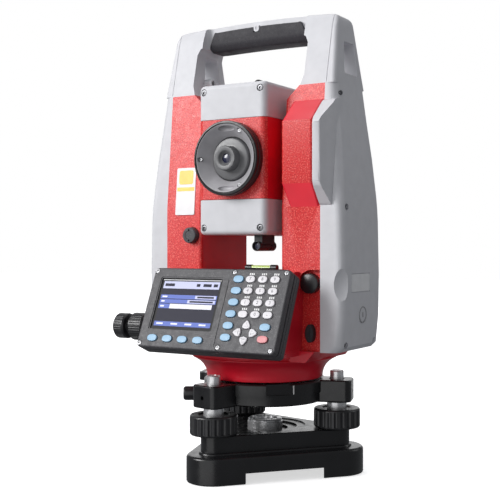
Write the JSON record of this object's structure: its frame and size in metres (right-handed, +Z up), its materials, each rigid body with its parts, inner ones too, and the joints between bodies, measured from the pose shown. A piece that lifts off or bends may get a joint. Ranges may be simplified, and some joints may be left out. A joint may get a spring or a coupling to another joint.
{
  "type": "surveying total station",
  "caption": "Red and grey surveying total station with keyboard display, tilting telescope, carrying handle and black levelling tribrach.",
  "frame": {"origin": "on the vertical axis, at the lower end of the tripod bush and in the plane of the feet", "axes": "+Z up along the vertical axis, -Y towards the operator and the display, +X to the operator's right"},
  "size_m": [0.1876, 0.1516, 0.343],
  "materials": {
    "red_paint": "textured",
    "grey_plastic": "matte",
    "charcoal_plastic": "matte",
    "black_plastic": "satin",
    "tribrach_black": "satin",
    "bright_steel": "satin",
    "grip_rubber": "matte",
    "screen_glass": "glossy",
    "key_blue": "matte",
    "key_white": "matte",
    "key_red": "matte"
  },
  "bodies": {
    "tribrach": {"base_plate": "tribrach_black", "centre_bush": "bright_steel", "tribrach_body": "tribrach_black", "circular_level": "bright_steel"},
    "alidade": {"yoke_frame": "red_paint", "axis_spindle": "bright_steel", "left_cover": "grey_plastic", "right_cover": "grey_plastic", "carry_handle": "grey_plastic", "handle_grip": "grip_rubber", "display_housing": "charcoal_plastic", "display_bezel": "charcoal_plastic", "lcd_panel": "screen_glass", "plate_level": "bright_steel", "battery_pack": "grey_plastic", "port_plugs": "grip_rubber", "housing_screws": "bright_steel"},
    "telescope": {"telescope_body": "red_paint", "telescope_covers": "grey_plastic", "objective_cell": "black_plastic", "trunnion_shaft": "bright_steel", "sights": "black_plastic", "telescope_screws": "bright_steel"},
    "focus": {"focus_ring": "black_plastic"},
    "ocular": {"eyepiece": "black_plastic"},
    "lever": {"lock_lever": "black_plastic"},
    "h_tangent": {"h_tangent_knob": "black_plastic"},
    "h_clamp": {"h_clamp_ring": "black_plastic"},
    "v_tangent": {"v_tangent_knob": "black_plastic"},
    "foot_1": {"foot_screw_1": "black_plastic"},
    "foot_2": {"foot_screw_2": "black_plastic"},
    "foot_3": {"foot_screw_3": "black_plastic"},
    "key_down_cap": {"key_down": "key_white"},
    "key_enter_cap": {"key_enter": "key_blue"},
    "key_f1_cap": {"key_f1": "key_blue"},
    "key_f2_cap": {"key_f2": "key_blue"},
    "key_f3_cap": {"key_f3": "key_blue"},
    "key_f4_cap": {"key_f4": "key_blue"},
    "key_f5_cap": {"key_f5": "key_blue"},
    "key_f6_cap": {"key_f6": "key_blue"},
    "key_left_cap": {"key_left": "key_white"},
    "key_number_1_cap": {"key_number_1": "key_white"},
    "key_number_10_cap": {"key_number_10": "key_white"},
    "key_number_11_cap": {"key_number_11": "key_white"},
    "key_number_12_cap": {"key_number_12": "key_white"},
    "key_number_2_cap": {"key_number_2": "key_white"},
    "key_number_3_cap": {"key_number_3": "key_white"},
    "key_number_4_cap": {"key_number_4": "key_white"},
    "key_number_5_cap": {"key_number_5": "key_white"},
    "key_number_6_cap": {"key_number_6": "key_white"},
    "key_number_7_cap": {"key_number_7": "key_white"},
    "key_number_8_cap": {"key_number_8": "key_white"},
    "key_number_9_cap": {"key_number_9": "key_white"},
    "key_power_cap": {"key_power": "key_red"},
    "key_right_cap": {"key_right": "key_white"},
    "key_soft_1_cap": {"key_soft_1": "key_blue"},
    "key_soft_2_cap": {"key_soft_2": "key_blue"},
    "key_soft_3_cap": {"key_soft_3": "key_blue"},
    "key_soft_4_cap": {"key_soft_4": "key_blue"},
    "key_up_cap": {"key_up": "key_white"}
  },
  "joints": [
    {"name": "alidade_turn", "type": "hinge", "parent": "tribrach", "child": "alidade", "pos_m": [0, 0, 0.0705], "axis": [0, 0, 1], "continuous": true},
    {"name": "telescope_tilt", "type": "hinge", "parent": "alidade", "child": "telescope", "pos_m": [0, 0, 0.235], "axis": [1, 0, 0], "continuous": true},
    {"name": "focus_turn", "type": "hinge", "parent": "telescope", "child": "focus", "pos_m": [0, -0.0575, 0.235], "axis": [0, 1, 0], "range_deg": [-150, 150]},
    {"name": "eyepiece_turn", "type": "hinge", "parent": "telescope", "child": "ocular", "pos_m": [0, -0.0575, 0.235], "axis": [0, 1, 0], "range_deg": [-160, 160]},
    {"name": "h_tangent_turn", "type": "hinge", "parent": "alidade", "child": "h_tangent", "pos_m": [-0.0926, -0.05, 0.1093], "axis": [1, 0, 0], "range_deg": [-1080, 1080]},
    {"name": "h_clamp_turn", "type": "hinge", "parent": "alidade", "child": "h_clamp", "pos_m": [-0.074, -0.05, 0.1093], "axis": [1, 0, 0], "range_deg": [0, 75]},
    {"name": "v_tangent_turn", "type": "hinge", "parent": "alidade", "child": "v_tangent", "pos_m": [0.0577, -0.0363, 0.1447], "axis": [0, 1, 0], "range_deg": [-1080, 1080]},
    {"name": "lock_lever_turn", "type": "hinge", "parent": "tribrach", "child": "lever", "pos_m": [-0.03896, -0.02628, 0.058], "axis": [-0.829, -0.5592, 0], "range_deg": [0, 180]},
    {"name": "foot_screw_1_turn", "type": "hinge", "parent": "tribrach", "child": "foot_1", "pos_m": [0.05304, 0.01795, 0.041], "axis": [0, 0, 1], "range_deg": [-720, 720]},
    {"name": "foot_screw_2_turn", "type": "hinge", "parent": "tribrach", "child": "foot_2", "pos_m": [-0.04207, 0.03696, 0.041], "axis": [0, 0, 1], "range_deg": [-720, 720]},
    {"name": "foot_screw_3_turn", "type": "hinge", "parent": "tribrach", "child": "foot_3", "pos_m": [-0.01097, -0.05491, 0.041], "axis": [0, 0, 1], "range_deg": [-720, 720]},
    {"name": "key_down_press", "type": "slide", "parent": "alidade", "child": "key_down_cap", "axis": [0, 0.9157, -0.4019], "range_m": [0, 0.001], "stiffness_N_per_m": 300},
    {"name": "key_enter_press", "type": "slide", "parent": "alidade", "child": "key_enter_cap", "axis": [0, 0.9157, -0.4019], "range_m": [0, 0.001], "stiffness_N_per_m": 300},
    {"name": "key_f1_press", "type": "slide", "parent": "alidade", "child": "key_f1_cap", "axis": [0, 0.9157, -0.4019], "range_m": [0, 0.001], "stiffness_N_per_m": 300},
    {"name": "key_f2_press", "type": "slide", "parent": "alidade", "child": "key_f2_cap", "axis": [0, 0.9157, -0.4019], "range_m": [0, 0.001], "stiffness_N_per_m": 300},
    {"name": "key_f3_press", "type": "slide", "parent": "alidade", "child": "key_f3_cap", "axis": [0, 0.9157, -0.4019], "range_m": [0, 0.001], "stiffness_N_per_m": 300},
    {"name": "key_f4_press", "type": "slide", "parent": "alidade", "child": "key_f4_cap", "axis": [0, 0.9157, -0.4019], "range_m": [0, 0.001], "stiffness_N_per_m": 300},
    {"name": "key_f5_press", "type": "slide", "parent": "alidade", "child": "key_f5_cap", "axis": [0, 0.9157, -0.4019], "range_m": [0, 0.001], "stiffness_N_per_m": 300},
    {"name": "key_f6_press", "type": "slide", "parent": "alidade", "child": "key_f6_cap", "axis": [0, 0.9157, -0.4019], "range_m": [0, 0.001], "stiffness_N_per_m": 300},
    {"name": "key_left_press", "type": "slide", "parent": "alidade", "child": "key_left_cap", "axis": [0, 0.9157, -0.4019], "range_m": [0, 0.001], "stiffness_N_per_m": 300},
    {"name": "key_number_1_press", "type": "slide", "parent": "alidade", "child": "key_number_1_cap", "axis": [0, 0.9157, -0.4019], "range_m": [0, 0.001], "stiffness_N_per_m": 300},
    {"name": "key_number_10_press", "type": "slide", "parent": "alidade", "child": "key_number_10_cap", "axis": [0, 0.9157, -0.4019], "range_m": [0, 0.001], "stiffness_N_per_m": 300},
    {"name": "key_number_11_press", "type": "slide", "parent": "alidade", "child": "key_number_11_cap", "axis": [0, 0.9157, -0.4019], "range_m": [0, 0.001], "stiffness_N_per_m": 300},
    {"name": "key_number_12_press", "type": "slide", "parent": "alidade", "child": "key_number_12_cap", "axis": [0, 0.9157, -0.4019], "range_m": [0, 0.001], "stiffness_N_per_m": 300},
    {"name": "key_number_2_press", "type": "slide", "parent": "alidade", "child": "key_number_2_cap", "axis": [0, 0.9157, -0.4019], "range_m": [0, 0.001], "stiffness_N_per_m": 300},
    {"name": "key_number_3_press", "type": "slide", "parent": "alidade", "child": "key_number_3_cap", "axis": [0, 0.9157, -0.4019], "range_m": [0, 0.001], "stiffness_N_per_m": 300},
    {"name": "key_number_4_press", "type": "slide", "parent": "alidade", "child": "key_number_4_cap", "axis": [0, 0.9157, -0.4019], "range_m": [0, 0.001], "stiffness_N_per_m": 300},
    {"name": "key_number_5_press", "type": "slide", "parent": "alidade", "child": "key_number_5_cap", "axis": [0, 0.9157, -0.4019], "range_m": [0, 0.001], "stiffness_N_per_m": 300},
    {"name": "key_number_6_press", "type": "slide", "parent": "alidade", "child": "key_number_6_cap", "axis": [0, 0.9157, -0.4019], "range_m": [0, 0.001], "stiffness_N_per_m": 300},
    {"name": "key_number_7_press", "type": "slide", "parent": "alidade", "child": "key_number_7_cap", "axis": [0, 0.9157, -0.4019], "range_m": [0, 0.001], "stiffness_N_per_m": 300},
    {"name": "key_number_8_press", "type": "slide", "parent": "alidade", "child": "key_number_8_cap", "axis": [0, 0.9157, -0.4019], "range_m": [0, 0.001], "stiffness_N_per_m": 300},
    {"name": "key_number_9_press", "type": "slide", "parent": "alidade", "child": "key_number_9_cap", "axis": [0, 0.9157, -0.4019], "range_m": [0, 0.001], "stiffness_N_per_m": 300},
    {"name": "key_power_press", "type": "slide", "parent": "alidade", "child": "key_power_cap", "axis": [0, 0.9157, -0.4019], "range_m": [0, 0.001], "stiffness_N_per_m": 300},
    {"name": "key_right_press", "type": "slide", "parent": "alidade", "child": "key_right_cap", "axis": [0, 0.9157, -0.4019], "range_m": [0, 0.001], "stiffness_N_per_m": 300},
    {"name": "key_soft_1_press", "type": "slide", "parent": "alidade", "child": "key_soft_1_cap", "axis": [0, 0.9157, -0.4019], "range_m": [0, 0.001], "stiffness_N_per_m": 300},
    {"name": "key_soft_2_press", "type": "slide", "parent": "alidade", "child": "key_soft_2_cap", "axis": [0, 0.9157, -0.4019], "range_m": [0, 0.001], "stiffness_N_per_m": 300},
    {"name": "key_soft_3_press", "type": "slide", "parent": "alidade", "child": "key_soft_3_cap", "axis": [0, 0.9157, -0.4019], "range_m": [0, 0.001], "stiffness_N_per_m": 300},
    {"name": "key_soft_4_press", "type": "slide", "parent": "alidade", "child": "key_soft_4_cap", "axis": [0, 0.9157, -0.4019], "range_m": [0, 0.001], "stiffness_N_per_m": 300},
    {"name": "key_up_press", "type": "slide", "parent": "alidade", "child": "key_up_cap", "axis": [0, 0.9157, -0.4019], "range_m": [0, 0.001], "stiffness_N_per_m": 300}
  ]
}
